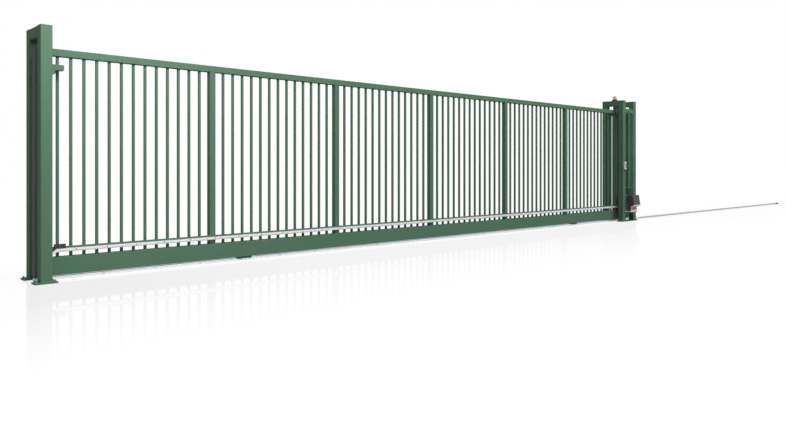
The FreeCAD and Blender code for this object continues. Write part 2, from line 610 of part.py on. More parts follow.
# Hood: its side outline padded both ways, with a chin that rises to the front
hood, hood_pad = padded("hood", "YZ_Plane", [
    ("hood_in", "gearbox_high"), ("hood_in - hood_back", "hood_high"),
    ("hood_slant - hood_out", "hood_high"), ("-hood_out", "gearbox_high + chin_rise"),
    ("-gearbox_out", "gearbox_high")], "hood_length", True)
soft = hood.newObject("PartDesign::Fillet", "hood_rounded")
soft.Base = (hood_pad, ["Edge%d" % (i + 1) for i, e in enumerate(hood_pad.Shape.Edges)
                        if max(v.Z for v in e.Vertexes) > val("hood_high") - SMALL])
soft.setExpression("Radius", ex("hood_round"))
place(hood, GUIDE_MID)
keep("motor_hood", hood)

# Light trim: a lip below the chin and a panel below the lip, with a release flap
lip = padded("hood_lip", "YZ_Plane", [
    ("-gearbox_out", "gearbox_high - lip_thick"), ("-gearbox_out", "gearbox_high"),
    ("-hood_out", "gearbox_high + chin_rise"),
    ("-hood_out", "gearbox_high + chin_rise - lip_thick")], "hood_length", True)[0]
place(lip, GUIDE_MID)
PANEL_LOW = "(%s + panel_gap)" % FOOT_TOP
keep("motor_front_panel", group("front_trim", [
    lip,
    box("front_panel", "%s - panel_length/2" % GUIDE_MID, "-gearbox_out - panel_thick",
        PANEL_LOW, "panel_length", "panel_thick",
        "gearbox_high - lip_thick - panel_gap - %s" % PANEL_LOW)]))
keep("release_flap", box("flap", "%s - flap_length/2" % GUIDE_MID,
                         "-gearbox_out - panel_thick - flap_thick",
                         "%s + flap_rise" % PANEL_LOW,
                         "flap_length", "flap_thick", "flap_height"))

# Push-button box on the front post of the near guide portal
keep("push_button_box", box("button_box", "%s - box_width/2" % GUIDE_1,
                            "-post_size/2 - box_depth", "box_low",
                            "box_width", "box_depth", "box_height"))
keep("stop_button", rod("button", "button_size/2", "button_reach", GUIDE_1,
                        "-post_size/2 - box_depth - button_reach",
                        "box_low + button_rise", "y"))

# Beacon on the near guide portal's crosspiece: a foot and a stepped dome
BEACON_Y = "(%s - beacon_shift)" % LEAF_Y
keep("beacon_base", rod("beacon_foot", "beacon_size/2", "beacon_base_high", GUIDE_1, BEACON_Y,
                        PORTAL_TOP))
LENS_LOW = "(%s + beacon_base_high)" % PORTAL_TOP
SHOULDER_R = "(lens_size/2 - lens_draft)"
CROWN_R = "(%s - shoulder_in)" % SHOULDER_R
keep("beacon_lens", fuse("beacon_dome", [
    cone("lens_wall", "lens_size/2", SHOULDER_R, "lens_high", GUIDE_1, BEACON_Y, LENS_LOW),
    cone("lens_shoulder", SHOULDER_R, CROWN_R, "shoulder_high", GUIDE_1, BEACON_Y,
         "%s + lens_high" % LENS_LOW),
    cone("lens_crown", CROWN_R, "%s - crown_in" % CROWN_R, "crown_high", GUIDE_1, BEACON_Y,
         "%s + lens_high + shoulder_high" % LENS_LOW)]))

doc.recompute()

bad = [o.Name for o in doc.Objects
       if "Invalid" in o.State or "Error" in " ".join(o.State)
       or (hasattr(o, "Shape") and not o.Shape.isNull() and not o.Shape.isValid())]
if bad:
    raise RuntimeError("not valid: " + ", ".join(bad))
os.makedirs("parts", exist_ok=True)
for name, obj in nodes.items():
    if obj.Shape.isNull() or not obj.Shape.Solids:
        raise RuntimeError("no solid: " + name)
    obj.Shape.exportStep("parts/%s.step" % name)
print(len(nodes), "sub-parts")
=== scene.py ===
import json
import math

import bmesh
import bpy
from mathutils import Matrix, Vector


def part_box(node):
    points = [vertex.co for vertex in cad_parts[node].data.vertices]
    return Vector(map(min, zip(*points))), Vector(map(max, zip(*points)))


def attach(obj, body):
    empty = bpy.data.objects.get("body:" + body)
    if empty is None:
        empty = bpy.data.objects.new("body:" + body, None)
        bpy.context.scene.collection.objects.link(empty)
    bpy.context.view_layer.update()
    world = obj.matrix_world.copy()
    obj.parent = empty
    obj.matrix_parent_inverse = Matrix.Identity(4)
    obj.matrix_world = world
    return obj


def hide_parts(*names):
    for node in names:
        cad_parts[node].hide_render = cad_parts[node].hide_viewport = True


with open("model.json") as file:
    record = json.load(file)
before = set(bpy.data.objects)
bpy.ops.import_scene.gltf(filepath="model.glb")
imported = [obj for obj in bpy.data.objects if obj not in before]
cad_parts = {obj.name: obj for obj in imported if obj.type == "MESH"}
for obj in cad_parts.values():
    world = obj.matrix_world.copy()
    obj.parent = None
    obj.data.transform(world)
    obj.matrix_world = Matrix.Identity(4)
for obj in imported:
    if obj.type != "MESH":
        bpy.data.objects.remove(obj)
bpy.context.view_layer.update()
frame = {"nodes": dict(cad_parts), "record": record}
nodes = frame["nodes"]

ROOT, LEAF = "gate_frame", "leaf"
QUARTER = math.radians(90)
BOTH_SIDES = (-1, 1)
MM_PER_M = 1000


def middle(low, high):
    """The middle of a box."""
    return [(a + b) / 2 for a, b in zip(low, high)]


# Camera, at the photograph's angle
CAMERA_PLACE = (-2.274, -7.851, 1.236)
CAMERA_TURN = math.radians(43.06)
CAMERA_LENS, CAMERA_SENSOR = 31.47, 36.0
CAMERA_SHIFT = (-0.0007, -0.0638)
CAMERA_CLIP = (0.1, 300.0)


def set_camera():
    data = bpy.data.cameras.new("photo_camera")
    data.lens, data.sensor_width = CAMERA_LENS, CAMERA_SENSOR
    data.shift_x, data.shift_y = CAMERA_SHIFT
    data.clip_start, data.clip_end = CAMERA_CLIP
    camera = bpy.data.objects.new("photo_camera", data)
    camera.location = CAMERA_PLACE
    camera.rotation_euler = (QUARTER, 0, -CAMERA_TURN)
    bpy.context.scene.collection.objects.link(camera)
    bpy.context.scene.camera = camera


# Small steps in building node trees
def socket(tree, side, kind, name, value=None):
    """A named input or output of a tree or group."""
    made = tree.interface.new_socket(name=name, in_out=side, socket_type="NodeSocket" + kind)
    if value is not None:
        made.default_value = value


def feed(tree, target, value):
    """Link another socket to this one, or set it to a number or colour."""
    if isinstance(value, bpy.types.NodeSocket):
        tree.links.new(value, target)
    else:
        target.default_value = value


def combine(tree, operation, first, second):
    """A sum, product or the like of two values."""
    node = tree.nodes.new("ShaderNodeMath")
    node.operation = operation
    feed(tree, node.inputs[0], first)
    feed(tree, node.inputs[1], second)
    return node.outputs[0]


def ramp(tree, value, start, end, low, high):
    """A value that runs from low to high between two places, and stays there."""
    node = tree.nodes.new("ShaderNodeMapRange")
    for name, given in (("Value", value), ("From Min", start), ("From Max", end),
                        ("To Min", low), ("To Max", high)):
        feed(tree, node.inputs[name], given)
    return node.outputs["Result"]


def mixed(tree, factor, first, second, blend="MIX"):
    """A mix of two colours."""
    node = tree.nodes.new("ShaderNodeMix")
    node.data_type, node.blend_type = "RGBA", blend
    for name, given in (("Factor", factor), ("A", first), ("B", second)):
        feed(tree, node.inputs[name], given)
    return node.outputs["Result"]


def object_axes(tree):
    """Object coordinates, apart as X, Y and Z."""
    place, part = tree.nodes.new("ShaderNodeTexCoord"), tree.nodes.new("ShaderNodeSeparateXYZ")
    tree.links.new(place.outputs["Object"], part.inputs[0])
    return part.outputs


# Shader effects that several finishes share
def effect_tree(name, inputs, outputs):
    """A shader group that has its sockets and nothing else yet."""
    tree = bpy.data.node_groups.new(name, "ShaderNodeTree")
    for label, kind, value in inputs:
        socket(tree, "INPUT", kind, label, value)
    for label, kind in outputs:
        socket(tree, "OUTPUT", kind, label)
    return tree, tree.nodes.new("NodeGroupInput").outputs, tree.nodes.new("NodeGroupOutput").inputs


def coat_grain_group():
    """Fine grain, soft swell and slow tone of a powder coat or a moulded skin."""
    tree, source, result = effect_tree(
        "coat_grain",
        (("Vector", "Vector", None), ("Coat", "Color", (0.5, 0.5, 0.5, 1)),
         ("Grain size", "Float", 600.0), ("Tone", "Float", 0.1),
         ("Gloss low", "Float", 0.35), ("Gloss high", "Float", 0.5)),
        (("Color", "Color"), ("Roughness", "Float"), ("Height", "Float")))
    grain_detail, slow_size, slow_detail = 3, 1.7, 5
    slow_low, slow_high = 0.3, 0.7
    grain, slow = tree.nodes.new("ShaderNodeTexNoise"), tree.nodes.new("ShaderNodeTexNoise")
    for noise, size, detail in ((grain, source["Grain size"], grain_detail),
                                (slow, slow_size, slow_detail)):
        feed(tree, noise.inputs["Vector"], source["Vector"])
        feed(tree, noise.inputs["Scale"], size)
        feed(tree, noise.inputs["Detail"], detail)
    darkest = combine(tree, "SUBTRACT", 1.0, source["Tone"])
    shade = ramp(tree, slow.outputs["Fac"], slow_low, slow_high, darkest, 1.0)
    gloss = ramp(tree, grain.outputs["Fac"], 0.0, 1.0, source["Gloss low"], source["Gloss high"])
    feed(tree, result["Color"], mixed(tree, 1.0, source["Coat"], shade, "MULTIPLY"))
    feed(tree, result["Roughness"], gloss)
    feed(tree, result["Height"], grain.outputs["Fac"])
    return tree


def zinc_spangle_group():
    """The crystal pattern of hot-dip zinc."""
    tree, source, result = effect_tree(
        "zinc_spangle",
        (("Vector", "Vector", None), ("Dark zinc", "Color", (0.5, 0.5, 0.5, 1)),
         ("Light zinc", "Color", (0.7, 0.7, 0.7, 1)), ("Crystals", "Float", 90.0)),
        (("Color", "Color"), ("Roughness", "Float")))
    smoothest, roughest = 0.38, 0.56
    cells = tree.nodes.new("ShaderNodeTexVoronoi")
    feed(tree, cells.inputs["Vector"], source["Vector"])
    feed(tree, cells.inputs["Scale"], source["Crystals"])
    grey = tree.nodes.new("ShaderNodeRGBToBW")
    feed(tree, grey.inputs["Color"], cells.outputs["Color"])
    crystal = grey.outputs["Val"]
    feed(tree, result["Color"], mixed(tree, crystal, source["Dark zinc"], source["Light zinc"]))
    feed(tree, result["Roughness"], ramp(tree, crystal, 0.0, 1.0, smoothest, roughest))
    return tree


COAT_GRAIN = coat_grain_group()
ZINC_SPANGLE = zinc_spangle_group()

# Finishes
GRAIN_DEPTH = 0.0006


def blank_material(name, metallic=0.0, specular=0.5, clear=0.0):
    """A material whose shader has its plain values and no pattern yet."""
    material = bpy.data.materials.new(name)
    material.use_nodes = True
    tree = material.node_tree
    shader = tree.nodes["Principled BSDF"]
    for key, value in (("Metallic", metallic), ("Specular IOR Level", specular),
                       ("Transmission Weight", clear)):
        shader.inputs[key].default_value = value
    return material, tree, shader


def placed_effect(tree, shader, effect, values):
    """A shared effect in a material, wired to its colour and roughness."""
    group = tree.nodes.new("ShaderNodeGroup")
    group.node_tree = effect
    for key, value in values.items():
        group.inputs[key].default_value = value
    place = tree.nodes.new("ShaderNodeTexCoord")
    tree.links.new(place.outputs["Object"], group.inputs["Vector"])
    tree.links.new(group.outputs["Color"], shader.inputs["Base Color"])
    tree.links.new(group.outputs["Roughness"], shader.inputs["Roughness"])
    return group


def coated(name, colour, grain, tone, gloss, bump, metallic=0.0, specular=0.5, clear=0.0):
    """A painted, moulded or cast finish from the coat grain."""
    material, tree, shader = blank_material(name, metallic, specular, clear)
    group = placed_effect(tree, shader, COAT_GRAIN, {
        "Coat": (*colour, 1), "Grain size": grain, "Tone": tone,
        "Gloss low": gloss[0], "Gloss high": gloss[1]})
    swell = tree.nodes.new("ShaderNodeBump")
    swell.inputs["Strength"].default_value = bump
    swell.inputs["Distance"].default_value = GRAIN_DEPTH
    tree.links.new(group.outputs["Height"], swell.inputs["Height"])
    tree.links.new(swell.outputs["Normal"], shader.inputs["Normal"])
    return material


def galvanised(name, dark, light, crystals=90, metallic=0.3):
    """A zinc finish from the spangle."""
    material, tree, shader = blank_material(name, metallic)
    placed_effect(tree, shader, ZINC_SPANGLE, {
        "Dark zinc": (*dark, 1), "Light zinc": (*light, 1), "Crystals": crystals})
    return material


def rail_finish():
    """Pale zinc, partly painted light that brightens it in the beam's shadow, darkened by a
    painted shade behind the guide tower.
    """
    # Painted shade: from 12.9 m to 13.4 m along X the rail turns to a darker grey
    shade_start, shade_end, painted_shade_colour = 12.9, 13.4, (0.56, 0.56, 0.56, 1)
    # The pale zinc colours are partly painted light, brightened to offset the shade under the beam
    material = galvanised("rail_zinc", (0.80, 0.81, 0.82), (0.90, 0.91, 0.92), metallic=0.7)
    tree = material.node_tree
    coloured = tree.nodes["Principled BSDF"].inputs["Base Color"]
    pale_zinc_with_painted_light = coloured.links[0].from_socket
    painted_shade_mask = ramp(tree, object_axes(tree)["X"], shade_start, shade_end, 0.0, 1.0)
    tree.links.new(mixed(tree, painted_shade_mask, pale_zinc_with_painted_light, painted_shade_colour), coloured)
    return material


GREEN = coated("moss_green_coat", (0.081, 0.172, 0.107), grain=700, tone=0.05,
               gloss=(0.58, 0.72), bump=0.12, specular=0.05)
RUBBER = coated("edge_rubber", (0.105, 0.105, 0.106), grain=900, tone=0.12,
                gloss=(0.66, 0.80), bump=0.15, specular=0.25)
DARK_STEEL = coated("dark_painted_steel", (0.045, 0.047, 0.050), grain=700, tone=0.1,
                    gloss=(0.5, 0.62), bump=0.1, specular=0.3)
HOOD_SKIN = coated("hood_skin", (0.042, 0.041, 0.046), grain=1200, tone=0.05,
                   gloss=(0.45, 0.56), bump=0.2, specular=0.3)
RED_SKIN = coated("red_skin", (0.45, 0.026, 0.020), grain=900, tone=0.05,
                  gloss=(0.34, 0.44), bump=0.05)
PALE_SKIN = coated("pale_skin", (0.72, 0.73, 0.72), grain=900, tone=0.05,
                   gloss=(0.4, 0.5), bump=0.08)
NYLON = coated("roller_nylon", (0.100, 0.105, 0.105), grain=800, tone=0.06,
               gloss=(0.45, 0.55), bump=0.06)
CAST = coated("cast_aluminium", (0.60, 0.61, 0.62), grain=350, tone=0.1,
              gloss=(0.42, 0.58), bump=0.35, metallic=0.35)
STEEL = coated("machined_steel", (0.46, 0.46, 0.47), grain=500, tone=0.15,
               gloss=(0.28, 0.42), bump=0.05, metallic=0.9)
AMBER = coated("amber_lens", (0.92, 0.53, 0.31), grain=900, tone=0.05,
               gloss=(0.16, 0.22), bump=0.02, clear=0.6)
ZINC = galvanised("galvanised_zinc", (0.62, 0.63, 0.64), (0.78, 0.79, 0.80))
RAIL_ZINC = rail_finish()
OLD_ZINC = galvanised("old_zinc", (0.085, 0.115, 0.100), (0.125, 0.155, 0.140), metallic=0.0)
BRIGHT_ZINC = galvanised("bright_fastener_zinc", (0.34, 0.35, 0.36), (0.46, 0.47, 0.48),
                         crystals=250)
ANCHOR_ZINC = galvanised("anchor_zinc", (0.12, 0.14, 0.13), (0.20, 0.22, 0.21),
                         crystals=250, metallic=0.1)

FINISHES = {"green_paint": GREEN, "galvanised": ZINC, "rubber": RUBBER,
            "dark_steel": DARK_STEEL, "steel": STEEL, "nylon": NYLON,
            "hood_plastic": HOOD_SKIN, "red_plastic": RED_SKIN,
            "light_plastic": PALE_SKIN, "aluminium": CAST, "amber": AMBER}
# The rail's zinc is paler than the rack's, partly painted light for the beam's shadow, with a
# painted shade behind the guide tower; that of the brackets is old and dark
OWN_FINISHES = {"ground_rail": RAIL_ZINC, "roller_brackets": OLD_ZINC}


def dress_nodes():
    """Every CAD node takes its own finish, or that of its record slot."""
    for row in frame["record"]["subparts"]:
        mesh = nodes[row["node"]].data
        mesh.materials.clear()
        mesh.materials.append(OWN_FINISHES.get(row["node"], FINISHES[row["material_slot"]]))


# Repeated pieces, grown by Geometry Nodes
FASTENER_INPUTS = ("Washer radius", "Washer thickness", "Head radius", "Head height",
                   "Stud radius", "Stud height")
HEXAGON, ROUND_HEAD = 6, 14
WASHER_SIDES, STUD_SIDES, RIB_SIDES = 16, 12, 12
UNSET_SIZE = 0.01


def new_tree(name, material, sizes):
    """A tree with named sizes that ends in Realize Instances and Set Material."""
    tree = bpy.data.node_groups.new(name, "GeometryNodeTree")
    socket(tree, "INPUT", "Geometry", "Geometry")
    socket(tree, "OUTPUT", "Geometry", "Geometry")
    for label in sizes:
        socket(tree, "INPUT", "Float", label, UNSET_SIZE)
    socket(tree, "INPUT", "Rotation", "Turn")
    source, result = tree.nodes.new("NodeGroupInput"), tree.nodes.new("NodeGroupOutput")
    real, paint = (tree.nodes.new("GeometryNodeRealizeInstances"),
                   tree.nodes.new("GeometryNodeSetMaterial"))
    paint.inputs["Material"].default_value = material
    tree.links.new(real.outputs["Geometry"], paint.inputs["Geometry"])
    tree.links.new(paint.outputs["Geometry"], result.inputs["Geometry"])
    return tree, source.outputs, real.inputs["Geometry"]


def on_spots(tree, source, shape, target):
    """The shape, turned, at every vertex of the carrier mesh."""
    spots = tree.nodes.new("GeometryNodeInstanceOnPoints")
    tree.links.new(source["Geometry"], spots.inputs["Points"])
    tree.links.new(shape, spots.inputs["Instance"])
    tree.links.new(source["Turn"], spots.inputs["Rotation"])
    tree.links.new(spots.outputs["Instances"], target)


def rod(tree, sides, radius, length):
    """A round or many-sided bar about its own middle."""
    solid = tree.nodes.new("GeometryNodeMeshCylinder")
    solid.inputs["Vertices"].default_value = sides
    tree.links.new(radius, solid.inputs["Radius"])
    tree.links.new(length, solid.inputs["Depth"])
    return solid.outputs["Mesh"]


def disc(tree, sides, radius, depth, lift):
    """A round or many-sided plate on the spot's axis, lifted off the spot."""
    place = tree.nodes.new("ShaderNodeCombineXYZ")
    half = combine(tree, "MULTIPLY", depth, 0.5)
    feed(tree, place.inputs["Z"], combine(tree, "ADD", half, lift))
    move = tree.nodes.new("GeometryNodeTransform")
    tree.links.new(rod(tree, sides, radius, depth), move.inputs["Geometry"])
    tree.links.new(place.outputs[0], move.inputs["Translation"])
    return move.outputs["Geometry"]


def fastener_tree(name, material, head_sides, with_stud=False):
    """Washer, nut or head, and a stud end where there is one."""
    tree, source, target = new_tree(name, material, FASTENER_INPUTS)
    thickness, height = source["Washer thickness"], source["Head height"]
    plates = [disc(tree, WASHER_SIDES, source["Washer radius"], thickness, 0.0),
              disc(tree, head_sides, source["Head radius"], height, thickness)]
    if with_stud:
        plates.append(disc(tree, STUD_SIDES, source["Stud radius"], source["Stud height"],
                           combine(tree, "ADD", thickness, height)))
    join = tree.nodes.new("GeometryNodeJoinGeometry")
    for plate in plates:
        tree.links.new(plate, join.inputs["Geometry"])
    on_spots(tree, source, join.outputs["Geometry"], target)
    return tree


def fastener_sizes(washer, head, stud=()):
    """A fastener's sizes, each part's radius and height, by the tree's input names."""
    return dict(zip(FASTENER_INPUTS, (*washer, *head, *stud)))


def bead_tree(name, material, profile_sides):
    """A weld bead round the end of a square tube."""
    tree, source, target = new_tree(name, material, ("Tube side", "Bead radius"))
    square = tree.nodes.new("GeometryNodeCurvePrimitiveQuadrilateral")
    for side in ("Width", "Height"):
        tree.links.new(source["Tube side"], square.inputs[side])
    section = tree.nodes.new("GeometryNodeCurvePrimitiveCircle")
    section.inputs["Resolution"].default_value = profile_sides
    tree.links.new(source["Bead radius"], section.inputs["Radius"])
    sweep = tree.nodes.new("GeometryNodeCurveToMesh")
    tree.links.new(square.outputs["Curve"], sweep.inputs["Curve"])
    tree.links.new(section.outputs["Curve"], sweep.inputs["Profile Curve"])
    on_spots(tree, source, sweep.outputs["Mesh"], target)
    return tree


def rib_tree(name, material):
    """A long round rib, part sunk in the face that carries it."""
    tree, source, target = new_tree(name, material, ("Rib radius", "Rib length"))
    rib = rod(tree, RIB_SIDES, source["Rib radius"], source["Rib length"])
    on_spots(tree, source, rib, target)
    return tree


def grown(name, spots, tree, sizes, turn, body):
    """A plain mesh that a tree grows from a list of spots, riding on a body."""
    inputs = {**sizes, "Turn": turn}
    mesh = bpy.data.meshes.new(name)
    mesh.from_pydata([tuple(spot) for spot in spots], [], [])
    piece = bpy.data.objects.new(name, mesh)
    bpy.context.scene.collection.objects.link(piece)
    modifier = piece.modifiers.new("grow", "NODES")
    modifier.node_group = tree
    for item in tree.interface.items_tree:
        if item.item_type == "SOCKET" and item.in_out == "INPUT" and item.name in inputs:
            modifier[item.identifier] = inputs[item.name]
    bpy.context.view_layer.update()
    depsgraph = bpy.context.evaluated_depsgraph_get()
    real = bpy.data.meshes.new_from_object(piece.evaluated_get(depsgraph))
    piece.modifiers.remove(modifier)
    piece.data = real
    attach(piece, body)


TURN_UP, TURN_FRONT, TURN_BACK = (0, 0, 0), (QUARTER, 0, 0), (-QUARTER, 0, 0)
TURN_LEFT, TURN_RIGHT = (0, -QUARTER, 0), (0, QUARTER, 0)
HEX_FASTENER = fastener_tree("stud_with_nut", BRIGHT_ZINC, HEXAGON, with_stud=True)
ANCHOR = fastener_tree("anchor_with_nut", ANCHOR_ZINC, HEXAGON, with_stud=True)
HEX_HEAD = fastener_tree("hexagon_head", BRIGHT_ZINC, HEXAGON)
RAIL_HEAD = fastener_tree("rail_head", RAIL_ZINC, HEXAGON)
CAP_SCREW = fastener_tree("round_head_screw", BRIGHT_ZINC, ROUND_HEAD)
DARK_SCREW = fastener_tree("dark_screw", DARK_STEEL, ROUND_HEAD)
POST_BEAD = bead_tree("post_weld", GREEN, profile_sides=8)
BAR_BEAD = bead_tree("bar_weld", GREEN, profile_sides=5)
RUBBER_RIB = rib_tree("rubber_rib", RUBBER)
HOOD_RIB = rib_tree("hood_rib", HOOD_SKIN)

ANCHOR_NUT = fastener_sizes(washer=(0.015, 0.003), head=(0.0125, 0.011), stud=(0.007, 0.008))
PIN_NUT = fastener_sizes(washer=(0.014, 0.002), head=(0.0125, 0.009), stud=(0.007, 0.004))
HEX_M10 = fastener_sizes(washer=(0.0100, 0.002), head=(0.0085, 0.0065))
CAP_M6 = fastener_sizes(washer=(0.0060, 0.001), head=(0.0048, 0.0036))
RACK_SCREW = fastener_sizes(washer=(0.009, 0.0012), head=(0.0065, 0.0048))
FOOT_SCREW = fastener_sizes(washer=(0.0055, 0.001), head=(0.0046, 0.004))
FLAP_LOCK = fastener_sizes(washer=(0.012, 0.003), head=(0.008, 0.002))
LID_SCREW = fastener_sizes(washer=(0.0040, 0.0006), head=(0.0032, 0.0016))
BEZEL = fastener_sizes(washer=(0.0215, 0.003), head=(0.0120, 0.004))


def anchor_bolts():
    """Nuts and stud ends over the four holes of every base plate."""
    spots = []
    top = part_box("catch_base_plates")[1].z
    for mount in frame["record"]["mounts"]:
        if mount["kind"] != "bolt_pattern":
            continue
        x, y = mount["pos_m"][:2]
        across = mount["dims"]["spacing_x_mm"] / MM_PER_M / 2
        along = mount["dims"]["spacing_y_mm"] / MM_PER_M / 2
        spots += [(x + sx * across, y + sy * along, top)
                  for sx in BOTH_SIDES for sy in BOTH_SIDES]
    grown("anchor_bolts", spots, ANCHOR, ANCHOR_NUT, TURN_UP, ROOT)


def rail_fixings():
    """Hexagon screws along both edges of the rail's flange."""
    low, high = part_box("ground_rail")
    spacing, inset, edge, flange = 0.6, 0.15, 0.014, 0.006
    count = int((high.x - low.x - 2 * inset) / spacing) + 1
    spots = [(low.x + inset + i * spacing, y, low.z + flange)
             for i in range(count) for y in (low.y + edge, high.y - edge)]
    grown("rail_fixings", spots, RAIL_HEAD, HEX_M10, TURN_UP, ROOT)


def rack_screws():
    """Three round-head screws in the face of every rack length."""
    low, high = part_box("rack")
    lengths, per_length, below_top = 12, 3, 0.011
    step = (high.x - low.x) / lengths / per_length
    spots = [(low.x + (i + 0.5) * step, low.y, high.z - below_top)
             for i in range(lengths * per_length)]
    grown("rack_screws", spots, CAP_SCREW, RACK_SCREW, TURN_FRONT, LEAF)


def limit_plate_screws():
    """Two dark screws in each limit plate."""
    low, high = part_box("limit_plates")
    length, edge, below_top = 0.119, 0.025, 0.022
    spots = [(x, low.y, high.z - below_top)
             for x in (low.x + edge, low.x + length - edge,
                       high.x - length + edge, high.x - edge)]
    grown("limit_plate_screws", spots, DARK_SCREW, HEX_M10, TURN_FRONT, LEAF)


def post_welds():
    """Beads where the portal posts stand on their plates and leaf posts on the beam."""
    spots = []
    for portal in ("catch", "guide_near", "guide_far"):
        for side in ("front", "rear"):
            low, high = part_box("%s_%s_post" % (portal, side))
            x, y, _ = middle(low, high)
            spots.append((x, y, low.z))
    grown("post_welds", spots, POST_BEAD, {"Tube side": 0.120, "Bead radius": 0.0045},
          TURN_UP, ROOT)
    low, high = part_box("middle_posts")
    lead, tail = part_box("leading_post"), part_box("tail_post")
    half, gaps = 0.040, 5
    step = (high.x - low.x - 2 * half) / gaps
    places = [middle(*box)[0] for box in (lead, tail)]
    places += [low.x + half + i * step for i in range(gaps + 1)]
    y = middle(low, high)[1]
    grown("leaf_post_welds", [(x, y, low.z) for x in places], POST_BEAD,
          {"Tube side": 0.080, "Bead radius": 0.0035}, TURN_UP, LEAF)


def bar_welds():
    """A small bead round both ends of every bar."""
    bays, bay_bars, tail_bars, half = 6, 13, 3, 0.014
    rows = [("bay_%d_bars" % (k + 1), bay_bars) for k in range(bays)]
    spots = []
    for name, count in rows + [("tail_bars", tail_bars)]:
        low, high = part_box(name)
        y = middle(low, high)[1]
        step = (high.x - low.x - 2 * half) / (count - 1)
        spots += [(low.x + half + i * step, y, z)
                  for i in range(count) for z in (low.z, high.z)]
    grown("bar_welds", spots, BAR_BEAD, {"Tube side": 0.028, "Bead radius": 0.0022},
          TURN_UP, LEAF)


def rubber_ribs():
    """Upright ribs along the face of the rubber edges."""
    end, radius, sunk = 0.02, 0.004, 0.0015
    edge_rows, strip_rows, strip_inset = (-0.012, 0.0, 0.012), (-0.008, 0.008), 0.021
    low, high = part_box("leading_safety_edge")
    _, y, z = middle(low, high)
    grown("leading_edge_ribs", [(low.x + sunk, y + off, z) for off in edge_rows], RUBBER_RIB,
          {"Rib radius": radius, "Rib length": high.z - low.z - 2 * end},
          TURN_UP, LEAF)
    low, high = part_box("guide_safety_strips")
    z = middle(low, high)[2]
    spots = [(low.x + sunk, y + off, z)
             for y in (low.y + strip_inset, high.y - strip_inset) for off in strip_rows]
    grown("guide_strip_ribs", spots, RUBBER_RIB,
          {"Rib radius": radius, "Rib length": high.z - low.z - 2 * end},
          TURN_UP, ROOT)


def bracket_bolts():
    """Bolts in the brackets' back plates, and nuts on the roller pins."""
    low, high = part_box("roller_brackets")
    back, across = 0.008, 0.032
    pins, front_bolts, rear_bolts = [], [], []
    for portal in ("near", "far"):
        for side in ("front", "rear"):
            x, y, z = middle(*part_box("guide_%s_%s_roller" % (portal, side)))
            pins.append((x, y, high.z))
            if side == "front":
                front_bolts += [(x + s * across, low.y + back, z) for s in BOTH_SIDES]
            else:
                rear_bolts += [(x + s * across, high.y - back, z) for s in BOTH_SIDES]
    grown("roller_pin_nuts", pins, HEX_FASTENER, PIN_NUT, TURN_UP, ROOT)
    grown("front_bracket_bolts", front_bolts, HEX_HEAD, HEX_M10, TURN_BACK, ROOT)
    grown("rear_bracket_bolts", rear_bolts, HEX_HEAD, HEX_M10, TURN_FRONT, ROOT)


def screen_screws():
    """Round-head screws along the edges of both safety screens."""
    edge, rows = 0.007, 5
    for name, turn, label in (("front_safety_screen", TURN_FRONT, "front_screen_screws"),
                              ("rear_safety_screen", TURN_BACK, "rear_screen_screws")):
        low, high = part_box(name)
        y = low.y if turn == TURN_FRONT else high.y
        step = (high.z - low.z - 2 * edge) / (rows - 1)
        spots = [(x, y, low.z + edge + i * step) for i in range(rows)
                 for x in (low.x + edge, high.x - edge)]
        grown(label, spots, CAP_SCREW, CAP_M6, turn, ROOT)


def console_bolts():
    """Bolts through the console's gussets into the posts."""
    low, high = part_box("motor_console")
    post_y = middle(*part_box("guide_near_front_post"))[1]
    thick, rise, apart = 0.010, 0.035, 0.035
    for label, x, turn in (("near_console_bolts", low.x + thick, TURN_RIGHT),
                           ("far_console_bolts", high.x - thick, TURN_LEFT)):
        spots = [(x, post_y + s * apart, low.z + rise) for s in BOTH_SIDES]
        grown(label, spots, HEX_HEAD, HEX_M10, turn, ROOT)


def hood_trim():
    """Louvre ribs and screws on both sides of the hood, over the foot."""
    low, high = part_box("motor_hood")
    foot_low, foot_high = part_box("motor_foot")
    rows, first_rise, step, sunk = 6, 0.100, 0.018, 0.001
    screw_rise, front_inset, rear_inset = 0.022, 0.060, 0.020
    rib_y = middle(foot_low, foot_high)[1]
    spots = [(x, rib_y, low.z + first_rise + i * step)
             for x in (low.x + sunk, high.x - sunk) for i in range(rows)]
    grown("hood_louvres", spots, HOOD_RIB, {"Rib radius": 0.0050, "Rib length": 0.120},
          TURN_FRONT, ROOT)
    for label, x, turn in (("hood_screws_near", low.x, TURN_LEFT),
                           ("hood_screws_far", high.x, TURN_RIGHT)):
        spots = [(x, y, low.z + screw_rise)
                 for y in (foot_low.y + front_inset, foot_high.y - rear_inset)]
        grown(label, spots, CAP_SCREW, CAP_M6, turn, ROOT)


def foot_screws():
    """A screw near each corner of the motor's foot."""
    low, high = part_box("motor_foot")
    edge, end = 0.006, 0.03
    spots = [(x, y, high.z) for x in (low.x + edge, high.x - edge)
             for y in (low.y + end, high.y - end)]
    grown("foot_screws", spots, CAP_SCREW, FOOT_SCREW, TURN_UP, ROOT)


def flap_lock():
    """The lock in the release flap."""
    low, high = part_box("release_flap")
    from_left = 0.7
    x = low.x * (1 - from_left) + high.x * from_left
    grown("flap_lock", [(x, low.y, middle(low, high)[2])], DARK_SCREW, FLAP_LOCK,
          TURN_FRONT, ROOT)


# Single pieces, made as meshes
def shaped(name, shape, material, body):
    """A finished piece from a bmesh."""
    mesh = bpy.data.meshes.new(name)
    bmesh.ops.recalc_face_normals(shape, faces=shape.faces)
    shape.to_mesh(mesh)
    shape.free()
    mesh.materials.append(material)
    piece = bpy.data.objects.new(name, mesh)
    bpy.context.scene.collection.objects.link(piece)
    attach(piece, body)
    return piece


